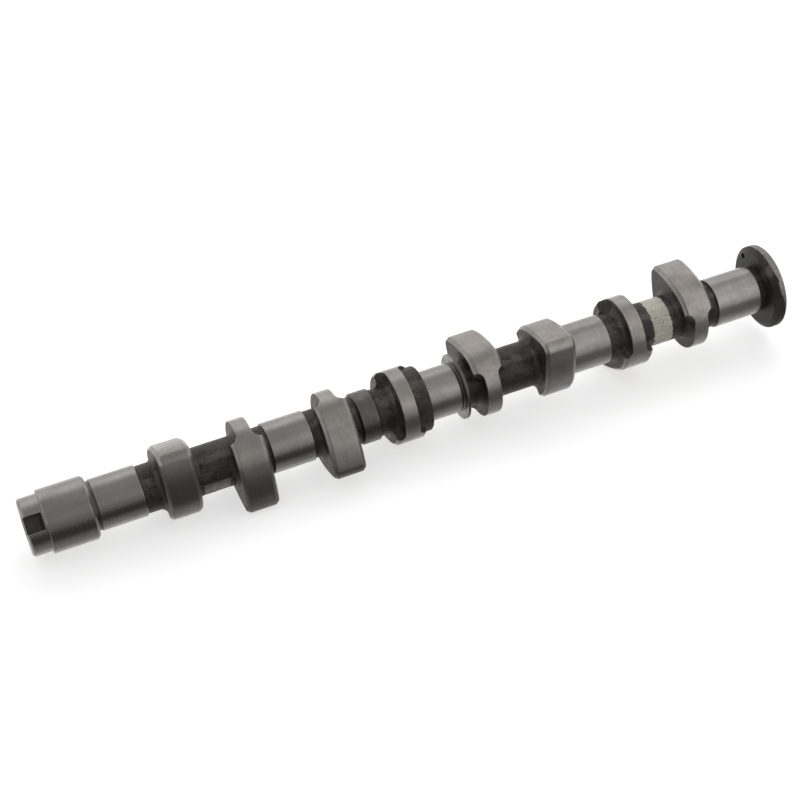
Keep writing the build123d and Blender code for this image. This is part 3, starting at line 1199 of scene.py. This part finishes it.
@dataclass
class ThrustBearing(Feature):
    """The cast boss, the middle journal, its relief and the thrust flange."""

    boss_diameter: float = 34.4
    boss_reach: float = 4.0
    boss_chamfer: float = 0.5
    boss_ease: float = 0.2
    boss_swell: float = 0.09
    boss_rim: float = 0.6
    boss_foot: float = 1.0
    boss_step: tuple[float, float] = (4.4, 5.0)
    boss_dish: float = 0.4
    flange_diameter: float = 34.4
    flange_thickness: float = 1.4
    relief_length: float = 0.9
    relief_diameter: float = 24.6
    face_clearance: float = 0.3
    neck_length: float = 4.6
    neck_sink: float = 1.5

    def build(self) -> list[bpy.types.Object]:
        """The boss, and the journal with its relief and flange.

        Returns:
            Both pieces, the boss first.
        """
        boss_face = self.plan.lobe_side(2, Valve.EXHAUST, End.REAR) + self.boss_reach
        flange_end = self.plan.lobe_side(3, Valve.INTAKE, End.FRONT) - self.neck_length
        flange_start = flange_end - self.flange_thickness
        relief_start = flange_start - self.relief_length
        radius, flange = self.plan.journal_diameter / 2, self.flange_diameter / 2
        relief, chamfer = self.relief_diameter / 2, self.plan.journal_chamfer
        journal = turned_skin(
            [
                (boss_face - OVERLAP, radius), (relief_start - chamfer, radius),
                (relief_start, radius - chamfer), (relief_start, relief),
                (flange_start, radius + self.face_clearance),
                (flange_start, flange), (flange_end, flange),
                (flange_end, radius - self.neck_sink),
            ],
            # The relief groove takes the dark collar finish (3) as painted shade in the groove; the flange
            # rim takes it too.
            [0, 1, 1, 3, 1, 3, 2],
        )
        made = self.finishes
        return [
            self.boss(boss_face),
            journal.build("middle_journal", [made.ground, made.turned, made.cast, made.dark]),
        ]

    def boss(self, face: float) -> bpy.types.Object:
        """The boss: a cast rim of radius + swell * (unevenness - 1), and a turned thrust face.

        Args:
            face: station of its thrust face.

        Returns:
            The boss.
        """
        start, radius = self.plan.lobe_centre(2, Valve.EXHAUST), self.boss_diameter / 2
        upper, lower = self.boss_step
        corners = [
            (start, radius - self.boss_foot), (start, radius), (face - self.boss_chamfer, radius),
            (face, radius - self.boss_chamfer), (face, radius - upper),
            (face - self.boss_dish, radius - lower),
        ]
        outline, finish = eased_outline(corners, [0, 0, 0, 1, 1], self.boss_ease)
        clocks = clock_turns(COLUMNS)[None, :]
        x, r = outline[:, :1], outline[:, 1:]
        swell = self.boss_swell * (unevenness(x, clocks, SEED + 3) - 1.0)
        radii = r + (r > radius - self.boss_rim) * swell
        skin = Skin(ring_points(x, radii, clocks), finish, start, face - self.boss_dish)
        return skin.build("thrust_boss", [self.finishes.cast, self.finishes.turned])


# ---------------------------------------------------------------------------
# Rear end
# ---------------------------------------------------------------------------


@dataclass
class EndDisc(Feature):
    """The bevelled end disc, with its small hole, its centre drilling and its nicked rim."""

    diameter: float = 45.0
    thickness: float = 6.1
    bevel_length: float = 2.0
    bevel_height: float = 3.0
    rear_chamfer: float = 0.6
    hole_diameter: float = 3.0
    hole_radius: float = 18.4
    hole_clock: float = 46.0
    centre_diameter: float = 6.0
    centre_angle: float = 60.0
    pilot_diameter: float = 2.5
    pilot_depth: float = 7.0
    nick_clock: float = 124.0
    nick_turn: float = 3.2
    nick_depth: float = 0.7
    nick_length: float = 1.7
    nick_lead: float = 0.9
    nick_skew: float = 0.1
    nick_overshoot: float = 0.2
    cutter_overrun: float = 2.0
    core_sink: float = 2.0
    edge_ease: float = 0.25
    rim_columns: int = 256
    hole_columns: int = 40

    def build(self) -> bpy.types.Object:
        """The disc: one turned skin with the drilling, then cut for the hole and the nick."""
        start, rim = self.plan.disc_start(), self.diameter / 2
        end, bevel_end = start + self.thickness, start + self.bevel_length
        centre, pilot = self.centre_diameter / 2, self.pilot_diameter / 2
        cone = (centre - pilot) / math.tan(math.radians(self.centre_angle / 2))
        skin = turned_skin(
            [
                (start, self.plan.core_diameter / 2 - self.core_sink),
                (start, rim - self.bevel_height), (bevel_end, rim),
                (end - self.rear_chamfer, rim), (end, rim - self.rear_chamfer),
                (end, centre), (end - cone, pilot), (end - self.pilot_depth, pilot),
            ],
            [0, 1, 1, 2, 2, 2, 3],
            self.edge_ease,
            self.rim_columns,
        )
        made = self.finishes
        piece = skin.build("end_disc", [made.disc, made.rim, made.turned, made.thread])
        hole = self.hole_radius * units(math.radians(self.hole_clock))
        hole = hole + self.hole_diameter / 2 * units(np.radians(clock_turns(self.hole_columns)))
        through = (start - self.cutter_overrun, end + self.cutter_overrun)
        carve(piece, prism(hole, through), 0)
        clocks = self.nick_clock + self.nick_turn * np.array([self.nick_skew, 1.0, -1.0])
        reach = rim + np.array([-self.nick_depth, self.nick_overshoot, self.nick_overshoot])
        nick_start = bevel_end - self.nick_lead
        notch = reach[:, None] * units(np.radians(clocks))
        nick = prism(notch, (nick_start, nick_start + self.nick_length))
        carve(piece, nick, 0)
        return piece


# ---------------------------------------------------------------------------
# Studio
# ---------------------------------------------------------------------------


@dataclass
class Studio:
    """A plain pale floor, a white surround, glowing and dark sheets seen only in the steel's reflections,
    which paint those reflections, a soft lamp and the camera.
    """

    floor_up: Point = (0.02471, -0.00527, 0.99968)
    floor_point: Point = (0.0955, -0.01283, -0.02037)
    floor_size: float = 8.0
    floor_glow: float = 0.55
    fill: float = 0.55
    eye: Point = (-0.038487, -0.638219, 0.568051)
    aim: Point = (0.186483, 0.003462, 0.0)
    roll: float = -5.5125
    lens: float = 78.748
    lamp_place: Point = (0.36, 0.42, 0.42)
    lamp_aim: Point = (0.19, 0.0, 0.0)
    lamp_size: tuple[float, float] = (0.95, 0.5)
    lamp_radiance: float = 1.25
    # From here: a glowing sheet seen only in the steel's reflections; its band lists below are painted
    # reflections of studio lights.
    tent_clocks: tuple[float, float] = (-1.0, 188.0)
    tent_reach: float = 12.0
    tent_columns: int = 49
    tent_sight: float = 0.25
    # card_*: a dark sheet on the floor seen only in the steel's reflections, painted shade in the reflected
    # floor.
    card_reach: tuple[float, float] = (4.0, 0.014)
    card_span: tuple[float, float] = (-0.3, 0.8)
    card_lift: float = 0.0004
    card_fade: tuple[float, float] = (0.042, 0.45)
    card_glow: tuple[float, float] = (0.07, 0.26)
    card_glow_span: tuple[float, float] = (0.12, 0.34)
    # Painted reflection bands by clock angle; the two boxes after them paint the steel brighter towards the
    # rear.
    reflection_bands: Pairs = (
        (0, 0.72), (18, 0.98), (42, 1.25), (52, 1.05), (62, 0.6), (76, 0.45),
        (100, 0.45), (116, 0.33), (142, 0.34), (158, 0.25), (182, 0.14), (188, 0.12),
    )
    low_reflection_box: Pairs = (
        (0, 0.0), (100, 0.0), (116, 0.3), (132, 0.75), (146, 0.85), (160, 0.8), (180, 0.52), (188, 0.42),
    )
    low_reflection_box_side: tuple[float, float] = (0.12, 0.3)
    high_reflection_box: Pairs = (
        (0, 0.0), (60, 0.0), (76, 0.42), (92, 0.72), (108, 0.66), (124, 0.3), (140, 0.0),
    )
    high_reflection_box_side: tuple[float, float] = (0.28, 0.45)

    def sheet(
        self, name: str, points: list, faces: list, material: bpy.types.Material
    ) -> bpy.types.Object:
        """An object of the studio that is no part of the shaft.

        Args:
            name: its name.
            points: its corners, in metres.
            faces: the corners of each face.
            material: its finish.

        Returns:
            The object.
        """
        mesh = bpy.data.meshes.new(name)
        mesh.from_pydata(points, [], faces)
        mesh.materials.append(material)
        made = placed(name, mesh)
        return made

    def floor(self) -> None:
        """The floor under the shaft as it lies on three of its lobes."""
        up = Vector(self.floor_up).normalized()
        side = up.cross(Vector((0, 1, 0))).normalized()
        ahead = up.cross(side)
        middle, half = Vector(self.floor_point), self.floor_size / 2
        corners = [
            tuple(middle + side * a * half + ahead * b * half)
            for a, b in ((-1, 1), (-1, -1), (1, -1), (1, 1))
        ]
        w = Wiring("pale_floor")
        glow = w.maths("MULTIPLY", w.seen(), self.floor_glow)
        w.shader.inputs["Specular IOR Level"].default_value = 0.0
        w.dress(
            Base_Color=(0.8, 0.8, 0.8, 1.0), Roughness=0.9,
            Emission_Color=(1, 1, 1, 1), Emission_Strength=glow,
        )
        self.sheet("floor", corners, [(0, 1, 2, 3)], w.material)

    def surround(self) -> None:
        """A white surround where it is seen or mirrored, an even fill elsewhere."""
        world = bpy.data.worlds.new("surround")
        world.use_nodes = True
        nodes = Nodes(world.node_tree)
        background = world.node_tree.nodes["Background"].inputs
        nodes.feed(background["Color"], (1, 1, 1, 1))
        level = nodes.spread(nodes.seen(), 0.0, 1.0, self.fill, 1.0)
        nodes.feed(background["Strength"], level)
        bpy.context.scene.world = world

    def reflection_tent(self) -> None:
        """A sheet round the shaft that glows in bands and is seen only in the steel's reflections: painted
        reflections of studio lights, which light nothing.

        The sheet is part of a cylinder round the shaft, point = reach * (cos clock, sin clock).
        It glows by the bands of its clock angle, plus two painted reflection boxes that fade in
        towards the rear, by x / distance, which paints the steel brighter towards the rear.
        """
        arc = units(np.radians(np.linspace(*self.tent_clocks, self.tent_columns))) * self.tent_reach
        w = Wiring("painted_reflection_sheet")
        turn = w.spread(w.maths("DEGREES", w.clock()), *self.tent_clocks)
        distance = math.hypot(self.tent_reach, self.tent_sight * self.tent_reach)
        side = w.maths("DIVIDE", w.along(), distance)
        glow = self.bands(w, turn, self.reflection_bands)
        for levels, rear in ((self.low_reflection_box, self.low_reflection_box_side), (self.high_reflection_box, self.high_reflection_box_side)):
            box = w.maths("MULTIPLY", self.bands(w, turn, levels), w.spread(side, *rear))
            glow = w.maths("ADD", glow, box)
        self.mirrored("reflection_tent", w, glow, arc, (-self.tent_reach, self.tent_reach))

    def dark_reflection_card(self) -> None:
        """A dark sheet on the floor before the shaft, seen only in the steel's reflections: painted shade in
        the reflected floor, which glows more towards the rear and close to the shaft.
        """
        far, near = self.card_reach
        up = Vector(self.floor_up).normalized()
        height = Vector(self.floor_point).dot(up) + self.card_lift
        w = Wiring("painted_dark_reflection")
        fade_start, fade_glow = self.card_fade
        faded = w.spread(w.along("Y"), -fade_start, -near, 0.0, fade_glow)
        glow = w.maths("ADD", w.spread(w.along(), *self.card_glow_span, *self.card_glow), faded)
        edges = np.array([(-far, height), (-near, height)])
        self.mirrored("dark_reflection_card", w, glow, edges, self.card_span, up)

    def bands(
        self, w: Wiring, turn: bpy.types.NodeSocket, levels: Pairs
    ) -> bpy.types.NodeSocket:
        """The glow of a band list of painted reflection at a share of the sheet's turn.

        Args:
            w: the painted reflection sheet's material.
            turn: 0 at the first of tent_clocks, 1 at the last.
            levels: clock angle and glow of each band.

        Returns:
            The glow.
        """
        first, last = self.tent_clocks
        ramp = w.add("ShaderNodeValToRGB")
        w.feed(ramp.inputs[0], turn)
        points = ramp.color_ramp.elements
        points.remove(points[1])
        for index, (angle, level) in enumerate(levels):
            place = (angle - first) / (last - first)
            point = points[0] if index == 0 else points.new(place)
            point.position, point.color = place, (level, level, level, 1.0)
        return ramp.outputs[0]

    def mirrored(
        self, name: str, w: Wiring, glow: object, arc: np.ndarray, span: tuple[float, float],
        up: Vector = Vector((0, 0, 1)),
    ) -> None:
        """A glowing sheet along the shaft that is seen by nothing but the steel's reflections: a painted
        reflection.

        Args:
            name: the object's name.
            w: its material.
            glow: its brightness.
            arc: its outline across the shaft, (y, z) in metres.
            span: where it starts and ends along the shaft, in metres.
            up: the floor's upward direction, along which it stays level.
        """
        x, count = np.repeat(np.array(span), len(arc)), len(arc)
        y, z = np.tile(arc, (2, 1)).T
        z = z - (up.x * x + up.y * y) / up.z
        faces = [(i, i + 1, count + i + 1, count + i) for i in range(count - 1)]
        w.shader.inputs["Specular IOR Level"].default_value = 0.0
        w.dress(Base_Color=(0.0, 0.0, 0.0, 1.0), Emission_Color=(1, 1, 1, 1), Emission_Strength=glow)
        made = self.sheet(name, np.stack([x, y, z], axis=-1).tolist(), faces, w.material)
        made.visible_camera = made.visible_diffuse = made.visible_shadow = False
        made.visible_transmission = False

    def lamp(self) -> None:
        """A soft rectangular lamp of a given surface radiance: power = pi * area * radiance."""
        data = bpy.data.lights.new("key", "AREA")
        width, depth = self.lamp_size
        data.shape, data.size, data.size_y = "RECTANGLE", width, depth
        data.energy = math.pi * width * depth * self.lamp_radiance
        made = placed("key", data)
        made.location = self.lamp_place
        aim = Vector(self.lamp_aim) - Vector(self.lamp_place)
        made.rotation_euler = aim.to_track_quat("-Z", "Y").to_euler()
        made.visible_glossy = False

    def camera(self) -> None:
        """The camera: its right is level, then rolled about its line of sight."""
        forward = (Vector(self.aim) - Vector(self.eye)).normalized()
        level = forward.cross(Vector((0, 0, 1))).normalized()
        upright = level.cross(forward)
        roll = math.radians(self.roll)
        right = level * math.cos(roll) + upright * math.sin(roll)
        up = upright * math.cos(roll) - level * math.sin(roll)
        matrix = Matrix((right, up, -forward)).transposed().to_4x4()
        matrix.translation = self.eye
        data = bpy.data.cameras.new("camera")
        data.lens, data.sensor_width = self.lens, 36.0
        data.clip_start, data.clip_end = 0.01, 20.0
        bpy.context.scene.camera = placed("camera", data)
        bpy.context.scene.camera.matrix_world = matrix

    def build(self) -> None:
        """Everything round the shaft."""
        self.floor()
        self.surround()
        self.reflection_tent()
        self.dark_reflection_card()
        self.lamp()
        self.camera()
        bpy.context.scene.view_settings.view_transform = "Standard"


# ---------------------------------------------------------------------------


def main() -> None:
    """Builds the shaft from front to rear, then the studio."""
    logging.basicConfig(level=logging.INFO, format="%(message)s")
    plan = ShaftPlan()
    shared = (plan, Finishes())
    FrontEnd(*shared).build()
    Core(*shared).build()
    Journals(*shared).build()
    for cylinder in sorted(plan.firing_order):
        Lobe(*shared, cylinder, Valve.INTAKE, 8.3).build()
        Lobe(*shared, cylinder, Valve.EXHAUST, 8.7).build()
    Collar(*shared).build()
    ThrustBearing(*shared).build()
    EndDisc(*shared).build()
    Studio().build()


if __name__ == "__main__":
    main()
